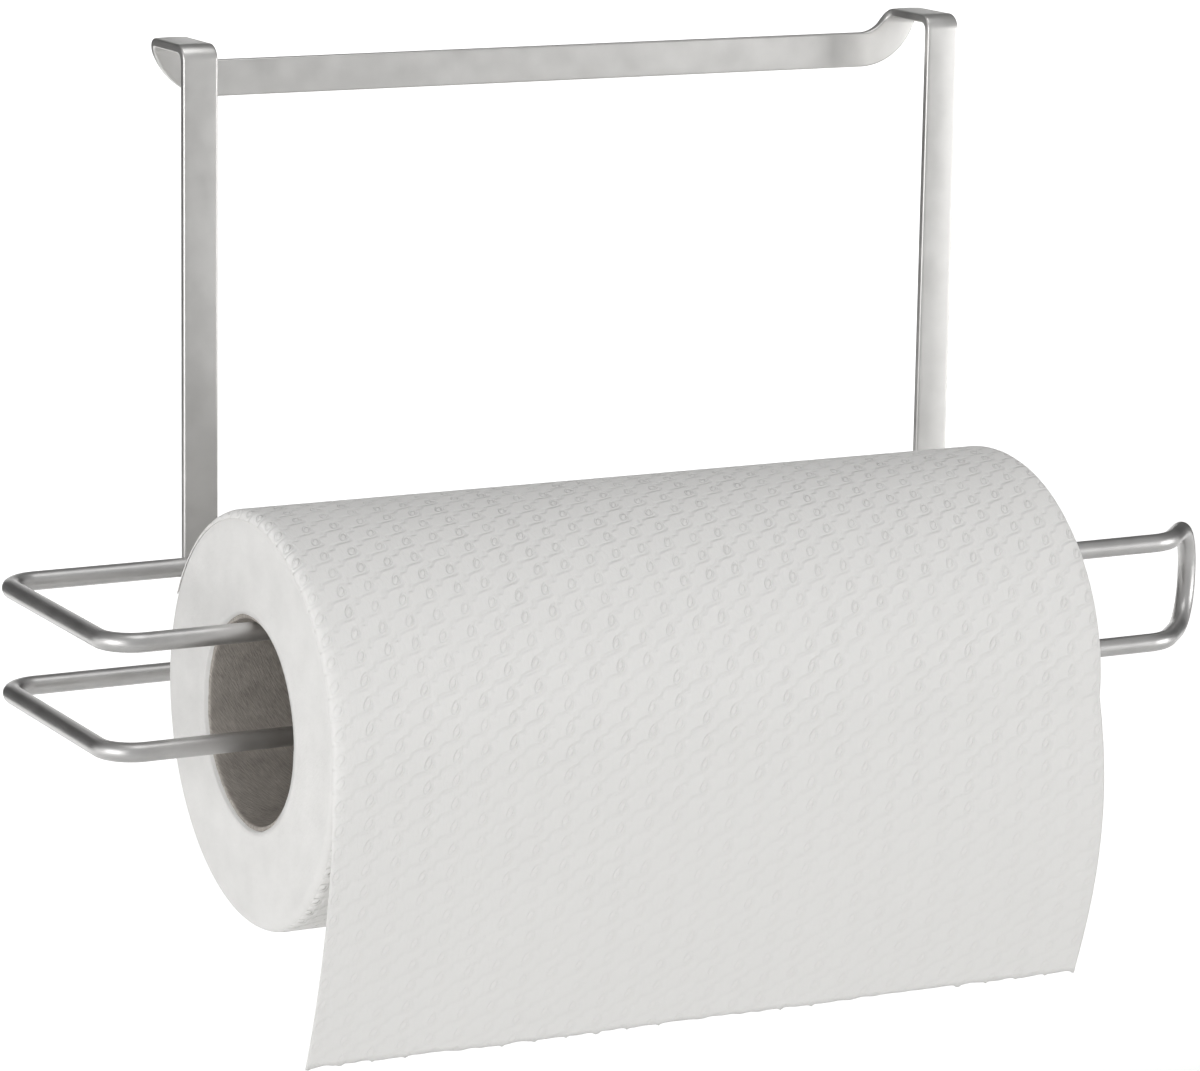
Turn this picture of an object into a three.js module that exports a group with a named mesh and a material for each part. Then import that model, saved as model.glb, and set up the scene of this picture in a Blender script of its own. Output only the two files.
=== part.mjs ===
// Over-door paper towel holder with a roll on it, in millimetres, +Z up.
//
// A flat steel strip is bent into an inverted U and folded over at the top, so
// that it hooks over the top edge of a cupboard door. One steel rod is bent
// into a pair of loops and welded across the two uprights. Its two front runs
// pass through the core of the roll, and a toe bent back at the open end keeps
// the roll on.
//
// +X runs along the roll towards the toe, +Y points back to the door.
// The origin is midway between the uprights, where the door's front face meets
// its top edge: the uprights' backs are at y = 0 and the saddles' undersides
// at z = 0.

import * as THREE from 'three';

// Flat strip of the hook frame
const STRIP_WIDTH = 10;
const STRIP_THICKNESS = 2.7;
const STRIP_EDGE_RADIUS = 0.9;
const UPRIGHT_SPACING = 231;
const UPRIGHT_BOTTOM_Z = -174;
const DOOR_GAP = 20;
const FOLD_RADIUS = 1.9; // inside radius of the two folds over the door
const CORNER_RADIUS = 13.7; // centre line of the edgewise bends behind the door
const CROSSBAR_Z = -9.3; // centre line of the crossbar

// Round rod of the roll carrier
const ROD_DIAMETER = 5.2;
const ROD_SIDES = 14;
const UPPER_ROD_Z = -138.6;
const ROD_SPACING = 28.7;
const FRONT_ROD_Y = -84;
const LOOP_X = -174.5; // side runs at the closed end
const LOOP_BEND_RADIUS = 9;
const TOE_X = 145; // where the toe turns back
const TOE_SETBACK = 20.4; // along X and along Y, so the toe turns back by 45 degrees
const TOE_BEND_RADIUS = 12.5;
const HAIRPIN_RADIUS = 13.5;

// Welds between rod and strip
const WELD_GAP = 0.3; // between the rod and the strip's front face
const WELD_LENGTH = 8;
const WELD_HEIGHT = 4.4;
const WELD_CLEARANCE = 0.1;

// Paper roll
const ROLL_LENGTH = 226;
const ROLL_LEFT_X = -137;
const CORE_BORE_RADIUS = 26.8;
const CORE_WALL = 1.2;
const CORE_RECESS = 1; // the core is shorter than the paper at each end
const CORE_REST_GAP = 0.3; // between the upper rod and the bore that hangs on it
const CORE_TO_PAPER_GAP = 0.1;
const WINDING_RADIUS = 54.6;
const WINDING_EDGE_RADIUS = 2.5;
const ROLL_SEGMENTS = 72;

// First sheet of the roll
const SHEET_THICKNESS = 0.5;
const SHEET_GAP = 0.3; // between the sheet and the winding that turns under it
const SHEET_LENGTH = 230; // from perforation to perforation
const SHEET_HANGING_LENGTH = 80;
const SHEET_LEAVES_AT = THREE.MathUtils.degToRad(4); // below the front of the roll
const SHEET_CURL_RADIUS = 335;
const SHEET_WRAP_STEPS = 32;
const SHEET_CURL_STEPS = 10;

// Worked out from the above
const ROD_RADIUS = ROD_DIAMETER / 2;
const LOWER_ROD_Z = UPPER_ROD_Z - ROD_SPACING;
const REAR_ROD_Y = -STRIP_THICKNESS - WELD_GAP - ROD_RADIUS;
const ROD_END_X = (UPRIGHT_SPACING + STRIP_WIDTH) / 2;
const ROLL_AXIS_Z = UPPER_ROD_Z + ROD_RADIUS + CORE_REST_GAP - CORE_BORE_RADIUS;

const satinSteel = (name) => new THREE.MeshStandardMaterial({
  name, color: 0xc6c5c2, metalness: 0.9, roughness: 0.38,
});
const weldMetal = (name) => new THREE.MeshStandardMaterial({
  name, color: 0xb4b2ae, metalness: 0.85, roughness: 0.5,
});
const cardboard = () => new THREE.MeshStandardMaterial({
  name: 'cardboard', color: 0x857d73, metalness: 0, roughness: 0.95,
});
const tissue = (name) => new THREE.MeshStandardMaterial({
  name, color: 0xf1f1ef, metalness: 0, roughness: 0.95,
});

const holder = new THREE.Group();
holder.name = 'paper_towel_holder';

function addMesh(name, geometry, material) {
  const mesh = new THREE.Mesh(geometry, material);
  mesh.name = name;
  holder.add(mesh);
}

// A centre line given by stations, one for each step of an extrusion, so that
// a straight run takes one step and a bend takes as many as it needs.
class StationPath extends THREE.Curve {
  constructor(stations) {
    super();
    this.stations = stations;
    this.steps = stations.length - 1;
  }

  getPointAt(u, target = new THREE.Vector3()) {
    return target.copy(this.stations[Math.round(u * this.steps)].point);
  }

  getTangentAt(u, target = new THREE.Vector3()) {
    return target.copy(this.stations[Math.round(u * this.steps)].tangent);
  }
}

// Stations along straight runs from corner to corner, with each inner corner
// rounded to its radius. extraPoints lie on the first straight run.
function bentStations(corners, stepsPerBend, extraPoints = []) {
  const first = corners[0].at;
  const last = corners.at(-1).at;
  const firstDirection = corners[1].at.clone().sub(first).normalize();
  const stations = [{ point: first, tangent: firstDirection }];
  extraPoints.forEach((point) => stations.push({ point, tangent: firstDirection }));
  let direction = firstDirection;
  for (let i = 1; i < corners.length - 1; i += 1) {
    const { at, radius } = corners[i];
    const next = corners[i + 1].at.clone().sub(at).normalize();
    const turn = direction.angleTo(next);
    const axis = direction.clone().cross(next).normalize();
    const start = at.clone().addScaledVector(direction, -radius * Math.tan(turn / 2));
    const centre = start.clone().addScaledVector(axis.clone().cross(direction), radius);
    for (let step = 0; step <= stepsPerBend; step += 1) {
      const angle = (turn * step) / stepsPerBend;
      const arm = start.clone().sub(centre).applyAxisAngle(axis, angle);
      const tangent = direction.clone().applyAxisAngle(axis, angle);
      stations.push({ point: centre.clone().add(arm), tangent });
    }
    direction = next;
  }
  stations.push({ point: last, tangent: direction });
  return stations;
}

// An outline in the YZ plane, given as (y, z), pushed along +X.
function extrudeAlongX(shape, startX, length, curveSegments = 12) {
  const geometry = new THREE.ExtrudeGeometry(shape, {
    depth: length, steps: 1, bevelEnabled: false, curveSegments,
  });
  const axes = new THREE.Matrix4().makeBasis(
    new THREE.Vector3(0, 1, 0),
    new THREE.Vector3(0, 0, 1),
    new THREE.Vector3(1, 0, 0),
  );
  return geometry.applyMatrix4(axes).translate(startX, 0, 0);
}

// Section of the strip, thickness along x and width along y, with rounded
// edges and points across its width for the folds to bend.
function stripSection() {
  const halfThickness = STRIP_THICKNESS / 2;
  const flatHalfWidth = STRIP_WIDTH / 2 - STRIP_EDGE_RADIUS;
  const edgeX = halfThickness - STRIP_EDGE_RADIUS;
  const spans = 6;
  const cornerSteps = 2;
  const points = [];
  for (let side = 0; side < 2; side += 1) {
    const sign = side === 0 ? 1 : -1;
    for (let i = 0; i <= spans; i += 1) {
      const across = -flatHalfWidth + (2 * flatHalfWidth * i) / spans;
      points.push(new THREE.Vector2(sign * halfThickness, sign * across));
    }
    for (let i = 1; i <= 2 * cornerSteps; i += 1) {
      const angle = (Math.PI / 2) * (i / cornerSteps);
      const capX = i <= cornerSteps ? edgeX : -edgeX;
      const x = capX + STRIP_EDGE_RADIUS * Math.cos(angle);
      const y = flatHalfWidth + STRIP_EDGE_RADIUS * Math.sin(angle);
      if (i < 2 * cornerSteps) points.push(new THREE.Vector2(sign * x, sign * y));
    }
  }
  return new THREE.Shape(points);
}

// The blank is a flat inverted U, bent edgewise at its two corners. It is then
// folded over twice: back over the door's top edge, and down behind the door.
function hookFrame() {
  const foldRadius = FOLD_RADIUS + STRIP_THICKNESS / 2;
  const foldLength = (foldRadius * Math.PI) / 2;
  const foldCentreZ = STRIP_THICKNESS / 2 - foldRadius;
  const frontFoldY = foldRadius - STRIP_THICKNESS / 2;
  const rearFoldY = DOOR_GAP + STRIP_THICKNESS / 2 - foldRadius;
  const frontFoldStart = foldCentreZ - UPRIGHT_BOTTOM_Z;
  const frontFoldEnd = frontFoldStart + foldLength;
  const rearFoldStart = frontFoldEnd + rearFoldY - frontFoldY;
  const rearFoldEnd = rearFoldStart + foldLength;
  const blankHeight = rearFoldEnd + foldCentreZ - CROSSBAR_Z;
  const halfSpacing = UPRIGHT_SPACING / 2;

  const foldSteps = 6;
  const cornerSteps = 24;
  const foldHeights = Array.from(
    { length: foldSteps + 1 },
    (_, i) => frontFoldStart + (foldLength * i) / foldSteps,
  );
  const corners = [
    { at: new THREE.Vector3(-halfSpacing, 0, 0) },
    { at: new THREE.Vector3(-halfSpacing, 0, blankHeight), radius: CORNER_RADIUS },
    { at: new THREE.Vector3(0, 0, blankHeight) },
  ];
  const leftHalf = bentStations(
    corners,
    cornerSteps,
    foldHeights.map((height) => new THREE.Vector3(-halfSpacing, 0, height)),
  );
  const rightHalf = leftHalf.slice(0, -1).reverse().map(({ point, tangent }) => ({
    point: new THREE.Vector3(-point.x, 0, point.z),
    tangent: new THREE.Vector3(tangent.x, 0, -tangent.z),
  }));
  const path = new StationPath([...leftHalf, ...rightHalf]);
  const geometry = new THREE.ExtrudeGeometry(stripSection(), {
    steps: path.steps, extrudePath: path, bevelEnabled: false,
  });

  const position = geometry.attributes.position;
  for (let i = 0; i < position.count; i += 1) {
    const outward = -position.getY(i); // front face of the upright, top of the saddle
    const height = position.getZ(i);
    const reach = foldRadius + outward;
    let y = outward;
    let z = height;
    if (height <= frontFoldStart) {
      y = -STRIP_THICKNESS / 2 - outward;
      z = height + UPRIGHT_BOTTOM_Z;
    } else if (height <= frontFoldEnd) {
      const angle = (height - frontFoldStart) / foldRadius;
      y = frontFoldY - reach * Math.cos(angle);
      z = foldCentreZ + reach * Math.sin(angle);
    } else if (height <= rearFoldStart) {
      y = frontFoldY + height - frontFoldEnd;
      z = STRIP_THICKNESS / 2 + outward;
    } else if (height <= rearFoldEnd) {
      const angle = (height - rearFoldStart) / foldRadius;
      y = rearFoldY + reach * Math.sin(angle);
      z = foldCentreZ + reach * Math.cos(angle);
    } else {
      y = DOOR_GAP + STRIP_THICKNESS / 2 + outward;
      z = foldCentreZ - (height - rearFoldEnd);
    }
    position.setY(i, y);
    position.setZ(i, z);
  }
  geometry.computeVertexNormals();
  return geometry;
}

// One rod from weld to weld: rear upper run, closed end, front upper run, toe,
// front lower run, closed end, rear lower run.
function rollCarrier() {
  const corner = (x, y, z, radius) => ({ at: new THREE.Vector3(x, y, z), radius });
  const toeTipX = TOE_X + TOE_SETBACK;
  const toeTipY = FRONT_ROD_Y + TOE_SETBACK;
  const corners = [
    corner(ROD_END_X, REAR_ROD_Y, UPPER_ROD_Z),
    corner(LOOP_X, REAR_ROD_Y, UPPER_ROD_Z, LOOP_BEND_RADIUS),
    corner(LOOP_X, FRONT_ROD_Y, UPPER_ROD_Z, LOOP_BEND_RADIUS),
    corner(TOE_X, FRONT_ROD_Y, UPPER_ROD_Z, TOE_BEND_RADIUS),
    corner(toeTipX, toeTipY, UPPER_ROD_Z, HAIRPIN_RADIUS),
    corner(toeTipX, toeTipY, LOWER_ROD_Z, HAIRPIN_RADIUS),
    corner(TOE_X, FRONT_ROD_Y, LOWER_ROD_Z, TOE_BEND_RADIUS),
    corner(LOOP_X, FRONT_ROD_Y, LOWER_ROD_Z, LOOP_BEND_RADIUS),
    corner(LOOP_X, REAR_ROD_Y, LOWER_ROD_Z, LOOP_BEND_RADIUS),
    corner(ROD_END_X, REAR_ROD_Y, LOWER_ROD_Z),
  ];
  const stepsPerBend = 8;
  const path = new StationPath(bentStations(corners, stepsPerBend));
  const section = new THREE.Shape(Array.from({ length: ROD_SIDES }, (_, i) => {
    const angle = (2 * Math.PI * i) / ROD_SIDES;
    return new THREE.Vector2(ROD_RADIUS * Math.cos(angle), ROD_RADIUS * Math.sin(angle));
  }));
  return new THREE.ExtrudeGeometry(section, {
    steps: path.steps, extrudePath: path, bevelEnabled: false,
  });
}

// Weld metal between the rod and the strip: flat against the strip, hollowed
// to the rod, and thicker above and below the line where the two would touch.
function weld(centreX, rodZ) {
  const stripY = -STRIP_THICKNESS - WELD_CLEARANCE;
  const seatRadius = ROD_RADIUS + WELD_CLEARANCE;
  const halfHeight = WELD_HEIGHT / 2;
  const halfAngle = Math.asin(halfHeight / seatRadius);
  const seatSteps = 8;
  const section = new THREE.Shape();
  section.moveTo(stripY, rodZ - halfHeight);
  section.lineTo(stripY, rodZ + halfHeight);
  for (let i = 0; i <= seatSteps; i += 1) {
    const angle = halfAngle - (2 * halfAngle * i) / seatSteps;
    section.lineTo(
      REAR_ROD_Y + seatRadius * Math.cos(angle),
      rodZ + seatRadius * Math.sin(angle),
    );
  }
  section.closePath();
  return extrudeAlongX(section, centreX - WELD_LENGTH / 2, WELD_LENGTH);
}

// A body of revolution about the roll's axis, from an outline of (radius, x)
// points that runs round it once.
function turnedAboutRollAxis(outline) {
  const points = outline.map(([radius, x]) => new THREE.Vector2(radius, x));
  points.push(points[0].clone());
  const geometry = new THREE.LatheGeometry(points, ROLL_SEGMENTS);
  geometry.rotateZ(-Math.PI / 2);
  return geometry.translate(ROLL_LEFT_X, FRONT_ROD_Y, ROLL_AXIS_Z);
}

function coreTube() {
  const outerRadius = CORE_BORE_RADIUS + CORE_WALL;
  const start = CORE_RECESS;
  const end = ROLL_LENGTH - CORE_RECESS;
  return turnedAboutRollAxis([
    [CORE_BORE_RADIUS, start],
    [outerRadius, start],
    [outerRadius, end],
    [CORE_BORE_RADIUS, end],
  ]);
}

function paperWinding() {
  const innerRadius = CORE_BORE_RADIUS + CORE_WALL + CORE_TO_PAPER_GAP;
  const edgeSteps = 3;
  const outline = [[innerRadius, 0]];
  const edgeCentreRadius = WINDING_RADIUS - WINDING_EDGE_RADIUS;
  for (let end = 0; end < 2; end += 1) {
    for (let i = 0; i <= edgeSteps; i += 1) {
      const angle = (Math.PI / 2) * (i / edgeSteps);
      const along = end === 0 ? Math.cos(angle) : Math.sin(angle);
      const out = end === 0 ? Math.sin(angle) : Math.cos(angle);
      const inset = WINDING_EDGE_RADIUS * (1 - along);
      const x = end === 0 ? inset : ROLL_LENGTH - inset;
      outline.push([edgeCentreRadius + WINDING_EDGE_RADIUS * out, x]);
    }
  }
  outline.push([innerRadius, ROLL_LENGTH]);
  return turnedAboutRollAxis(outline);
}

// The sheet lies on the roll from one perforation, over the top, and leaves it
// just below the front, to hang with the curl that the roll has given it.
function leadingSheet() {
  const innerRadius = WINDING_RADIUS + SHEET_GAP;
  const midRadius = innerRadius + SHEET_THICKNESS / 2;
  const wrapAngle = (SHEET_LENGTH - SHEET_HANGING_LENGTH) / midRadius;
  const stations = [];
  for (let i = 0; i <= SHEET_WRAP_STEPS; i += 1) {
    const angle = wrapAngle - SHEET_LEAVES_AT - (wrapAngle * i) / SHEET_WRAP_STEPS;
    stations.push({
      y: -midRadius * Math.cos(angle),
      z: midRadius * Math.sin(angle),
      outY: -Math.cos(angle),
      outZ: Math.sin(angle),
    });
  }
  const leaving = stations.at(-1);
  const curlY = leaving.y - leaving.outY * SHEET_CURL_RADIUS;
  const curlZ = leaving.z - leaving.outZ * SHEET_CURL_RADIUS;
  for (let i = 1; i <= SHEET_CURL_STEPS; i += 1) {
    const turned = (SHEET_HANGING_LENGTH * i) / SHEET_CURL_STEPS / SHEET_CURL_RADIUS;
    const angle = -SHEET_LEAVES_AT - turned;
    const outY = -Math.cos(angle);
    const outZ = Math.sin(angle);
    stations.push({
      y: curlY + SHEET_CURL_RADIUS * outY,
      z: curlZ + SHEET_CURL_RADIUS * outZ,
      outY,
      outZ,
    });
  }
  const offset = ({ y, z, outY, outZ }, distance) => new THREE.Vector2(
    FRONT_ROD_Y + y + outY * distance,
    ROLL_AXIS_Z + z + outZ * distance,
  );
  const outer = stations.map((station) => offset(station, SHEET_THICKNESS / 2));
  const inner = stations.map((station) => offset(station, -SHEET_THICKNESS / 2));
  const section = new THREE.Shape([...outer, ...inner.reverse()]);
  return extrudeAlongX(section, ROLL_LEFT_X, ROLL_LENGTH);
}

addMesh('hook_frame', hookFrame(), satinSteel('satin_silver_strip'));
addMesh('roll_carrier', rollCarrier(), satinSteel('satin_silver_rod'));
for (const [side, sign] of [['left', -1], ['right', 1]]) {
  const centreX = (sign * UPRIGHT_SPACING) / 2;
  addMesh(`weld_upper_${side}`, weld(centreX, UPPER_ROD_Z), weldMetal('weld_metal'));
  addMesh(`weld_lower_${side}`, weld(centreX, LOWER_ROD_Z), weldMetal('weld_metal'));
}
addMesh('core_tube', coreTube(), cardboard());
addMesh('paper_winding', paperWinding(), tissue('wound_tissue'));
addMesh('leading_sheet', leadingSheet(), tissue('embossed_tissue'));

export default holder;
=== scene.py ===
import math

import bmesh
import bpy
from mathutils import Matrix, Vector, noise


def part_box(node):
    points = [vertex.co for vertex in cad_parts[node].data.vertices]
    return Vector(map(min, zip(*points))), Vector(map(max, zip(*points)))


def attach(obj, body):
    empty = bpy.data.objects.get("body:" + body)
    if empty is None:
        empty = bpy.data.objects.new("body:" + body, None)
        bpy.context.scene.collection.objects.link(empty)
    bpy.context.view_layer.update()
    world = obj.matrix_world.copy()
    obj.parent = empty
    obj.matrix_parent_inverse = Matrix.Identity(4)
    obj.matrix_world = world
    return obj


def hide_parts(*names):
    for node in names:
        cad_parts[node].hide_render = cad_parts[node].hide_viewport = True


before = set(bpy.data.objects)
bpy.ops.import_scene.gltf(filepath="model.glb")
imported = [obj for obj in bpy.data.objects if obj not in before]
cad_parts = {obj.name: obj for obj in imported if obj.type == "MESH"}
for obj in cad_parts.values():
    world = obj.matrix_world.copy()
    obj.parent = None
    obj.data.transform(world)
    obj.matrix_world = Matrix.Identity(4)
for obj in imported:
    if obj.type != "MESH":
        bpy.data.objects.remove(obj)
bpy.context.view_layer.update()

# ------------------------------------------------------------------ camera
# A long lens a little above the roll and to its left, tipped by a degree.
# Nothing here hangs loose outside the view, so the rest follows in the order
# in which the holder is bent, welded and loaded.

camera_data = bpy.data.cameras.new("camera")
camera_data.sensor_width = 36
camera_data.lens = 151.3
camera = bpy.data.objects.new("camera", camera_data)
camera.matrix_world = (
    Matrix.Translation((-0.63937, -1.24290, 0.15527))
    @ Matrix.Rotation(math.radians(-27.517), 4, "Z")
    @ Matrix.Rotation(math.radians(90 - 11.967), 4, "X")
    @ Matrix.Rotation(math.radians(0.924), 4, "Z")
)
bpy.context.scene.collection.objects.link(camera)
bpy.context.scene.camera = camera

# -------------------------------------------------------------- hook frame
# Flat steel strip, 10 x 2.7 mm with crowned faces, bent edgewise into an
# inverted U. The flat blank is then folded twice over a former, back across
# the door's top edge and down behind it, and lacquered satin silver.

MM = 0.001
STRIP_WIDTH = 10 * MM
STRIP_THICKNESS = 2.7 * MM
STRIP_EDGE_RADIUS = 0.6 * MM
STRIP_CROWN = 0.16 * MM  # how far each wide face stands up along its middle
FOLD_RADIUS = 1.9 * MM + STRIP_THICKNESS / 2  # centre line
CORNER_RADIUS = 13.7 * MM

frame_low, frame_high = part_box("hook_frame")
upright_x = frame_high.x - STRIP_WIDTH / 2
upright_bottom = frame_low.z
saddle_top = frame_high.z
saddle_back = frame_high.y
crossbar_z = -9.3 * MM


def linear(hex_colour):
    """An sRGB hex colour as the linear RGBA that a shader takes."""
    channels = [int(hex_colour[i : i + 2], 16) / 255 for i in (1, 3, 5)]
    curve = [c / 12.92 if c <= 0.04045 else ((c + 0.055) / 1.055) ** 2.4 for c in channels]
    return (*curve, 1.0)


def add_node(tree, kind, inputs=None, **settings):
    """A node with its settings, and its inputs given as values or sockets."""
    node = tree.nodes.new(kind)
    for name, value in settings.items():
        setattr(node, name, value)
    for key, value in (inputs or {}).items():
        if isinstance(value, bpy.types.NodeSocket):
            tree.links.new(value, node.inputs[key])
        else:
            node.inputs[key].default_value = value
    return node


def finish_piece(name, bm, body, node_names, materials):
    """Turns a finished bmesh into a smooth piece that stands for its CAD nodes."""
    mesh = bpy.data.meshes.new(name)
    bm.to_mesh(mesh)
    bm.free()
    mesh.polygons.foreach_set("use_smooth", [True] * len(mesh.polygons))
    for material in materials:
        mesh.materials.append(material)
    piece = bpy.data.objects.new(name, mesh)
    bpy.context.scene.collection.objects.link(piece)
    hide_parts(*node_names)
    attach(piece, body)
    return piece


def rim_of(bm, made):
    """The open rim among what an extrusion or a spin has just made."""
    return [g for g in made if isinstance(g, bmesh.types.BMEdge) and g.is_boundary]


def push(bm, rim, along):
    """Lengthens a bar by one straight run."""
    made = bmesh.ops.extrude_edge_only(bm, edges=rim)["geom"]
    corners = [g for g in made if isinstance(g, bmesh.types.BMVert)]
    bmesh.ops.translate(bm, vec=along, verts=corners)
    return rim_of(bm, made)


def bend(bm, rim, centre, axis, angle, steps):
    """Lengthens a bar by one bend about an axis through centre."""
    corners = list({v for e in rim for v in e.verts})
    made = bmesh.ops.spin(
        bm, geom=corners + rim, cent=centre, axis=axis, angle=angle, steps=steps,
        use_merge=False, use_duplicate=False,
    )["geom_last"]
    return rim_of(bm, made)


def fold_over_door(point):
    """Where a point of the flat blank goes: y is its height off the blank's
    middle plane, towards the front, and z its height above the bottom end."""
    centre_z = saddle_top - STRIP_THICKNESS / 2 - FOLD_RADIUS
    front_y = FOLD_RADIUS - STRIP_THICKNESS / 2
    rear_y = saddle_back - STRIP_THICKNESS / 2 - FOLD_RADIUS
    quarter = FOLD_RADIUS * math.pi / 2
    front_start = centre_z - upright_bottom
    rear_start = front_start + quarter + rear_y - front_y
    reach = FOLD_RADIUS - point.y
    if point.z <= front_start:
        return Vector((point.x, point.y - STRIP_THICKNESS / 2, point.z + upright_bottom))
    if point.z <= front_start + quarter:
        angle = (point.z - front_start) / FOLD_RADIUS
        y, z = front_y - reach * math.cos(angle), centre_z + reach * math.sin(angle)
    elif point.z <= rear_start:
        y, z = front_y + point.z - front_start - quarter, centre_z + reach
    elif point.z <= rear_start + quarter:
        angle = (point.z - rear_start) / FOLD_RADIUS
        y, z = rear_y + reach * math.sin(angle), centre_z + reach * math.cos(angle)
    else:
        y, z = rear_y + reach, centre_z - (point.z - rear_start - quarter)
    return Vector((point.x, y, z))


def bent_strip():
    """The whole strip: its left half is drawn as a flat blank, from the foot of
    the upright to the middle of the crossbar, then mirrored and folded."""
    bm = bmesh.new()
    bmesh.ops.create_grid(bm, x_segments=8, y_segments=1, size=0.5)
    bmesh.ops.scale(bm, vec=(STRIP_WIDTH, STRIP_THICKNESS, 1), verts=bm.verts)
    outer = [v for v in bm.verts if abs(v.co.x) > 0.49 * STRIP_WIDTH]
    bmesh.ops.bevel(
        bm, geom=outer, offset=STRIP_EDGE_RADIUS, segments=5, profile=0.5,
        affect="VERTICES", material=-1,
    )
    for v in bm.verts:
        v.co.y *= 1 - 2 * STRIP_CROWN / STRIP_THICKNESS * (2 * v.co.x / STRIP_WIDTH) ** 2
    bmesh.ops.translate(bm, vec=(-upright_x, 0, 0), verts=bm.verts)
    rim = [e for e in bm.edges if e.is_boundary]

    centre_z = saddle_top - STRIP_THICKNESS / 2 - FOLD_RADIUS
    quarter = FOLD_RADIUS * math.pi / 2
    saddle = saddle_back - 2 * FOLD_RADIUS
    blank_top = centre_z - upright_bottom + 2 * quarter + saddle + centre_z - crossbar_z
    bend_start = blank_top - CORNER_RADIUS
    fold_start = centre_z - upright_bottom
    heights = [0.25 * fold_start, 0.5 * fold_start, 0.75 * fold_start]
    heights += [fold_start + quarter * i / 10 for i in range(11)]
    # the edgewise bend may start before the first fold has ended
    heights = [h for h in heights if h < bend_start - 0.2 * MM] + [bend_start]
    reached = 0
    for height in heights:
        rim = push(bm, rim, Vector((0, 0, height - reached)))
        reached = height
    bend_centre = (-upright_x + CORNER_RADIUS, 0, bend_start)
    rim = bend(bm, rim, bend_centre, (0, 1, 0), math.pi / 2, 44)
    for _ in range(4):
        rim = push(bm, rim, Vector(((upright_x - CORNER_RADIUS) / 4, 0, 0)))
    half = bm.verts[:] + bm.edges[:] + bm.faces[:]
    bmesh.ops.mirror(bm, geom=half, axis="X", merge_dist=0.01 * MM)
    for v in bm.verts:
        v.co = fold_over_door(v.co)
    bmesh.ops.remove_doubles(bm, verts=bm.verts, dist=0.005 * MM)
    bmesh.ops.recalc_face_normals(bm, faces=bm.faces)
    return bm


# Satin silver lacquer sprayed on drawn steel: a metallic grey that spreads
# its highlights, with the faint orange peel of a sprayed coat and patches
# where the flake lies a little differently.
satin_lacquer = bpy.data.materials.new("satin_silver_lacquer_on_steel")
satin_lacquer.use_nodes = True
tree = satin_lacquer.node_tree
shader = tree.nodes["Principled BSDF"]
place = add_node(tree, "ShaderNodeTexCoord").outputs["Object"]
# flake patches about 7 mm across, and orange peel about 0.9 mm from crest to crest
patches = add_node(
    tree, "ShaderNodeTexNoise", {"Vector": place, "Scale": 1 / (7 * MM), "Detail": 3.0}
).outputs[0]
peel = add_node(
    tree, "ShaderNodeTexNoise", {"Vector": place, "Scale": 1 / (0.9 * MM), "Detail": 2.0}
).outputs[0]
tone = add_node(tree, "ShaderNodeValToRGB", {"Fac": patches})
tone.color_ramp.elements[0].position = 0.3
tone.color_ramp.elements[0].color = linear("#D5D4D2")
tone.color_ramp.elements[1].position = 0.7
tone.color_ramp.elements[1].color = linear("#DCDBD9")
tree.links.new(tone.outputs[0], shader.inputs["Base Color"])
gloss = add_node(
    tree, "ShaderNodeMapRange",
    {"Value": patches, "From Min": 0.3, "From Max": 0.7, "To Min": 0.34, "To Max": 0.42},
)
tree.links.new(gloss.outputs[0], shader.inputs["Roughness"])
coat = add_node(
    tree, "ShaderNodeBump", {"Height": peel, "Strength": 0.25, "Distance": 0.03 * MM}
)
tree.links.new(coat.outputs[0], shader.inputs["Normal"])
shader.inputs["Metallic"].default_value = 0.92

strip = finish_piece(
    "bent_strip", bent_strip(), "holder", ["hook_frame"], [satin_lacquer]
)
strip.modifiers.new("even_shading", "WEIGHTED_NORMAL").weight = 100

# ------------------------------------------------------------ roll carrier
# One length of 5 mm round rod bent cold round pins: out from the right-hand
# upright, round the closed end, along the front, round the toe and back by
# the same way 29 mm lower. It is lacquered together with the strip.

ROD_RADIUS = 2.6 * MM
CLOSED_END_RADIUS = 9 * MM
TOE_RADIUS = 12.5 * MM
HAIRPIN_RADIUS = 13.5 * MM
CUT_END_RADIUS = 0.6 * MM
TOE_X = 145 * MM

carrier_low, carrier_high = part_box("roll_carrier")
rod_end_x = upright_x + STRIP_WIDTH / 2
loop_x = carrier_low.x + ROD_RADIUS
tip_x = carrier_high.x - ROD_RADIUS
front_y = carrier_low.y + ROD_RADIUS
rear_y = carrier_high.y - ROD_RADIUS
tip_y = front_y + tip_x - TOE_X
upper_z = carrier_high.z - ROD_RADIUS
lower_z = carrier_low.z + ROD_RADIUS

one_way = [
    ((rod_end_x, rear_y), 0),
    ((loop_x, rear_y), CLOSED_END_RADIUS),
    ((loop_x, front_y), CLOSED_END_RADIUS),
    ((TOE_X, front_y), TOE_RADIUS),
    ((tip_x, tip_y), HAIRPIN_RADIUS),
]
rod_corners = [(Vector((*at, upper_z)), radius) for at, radius in one_way]
rod_corners += [(Vector((*at, lower_z)), radius) for at, radius in reversed(one_way)]


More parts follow.
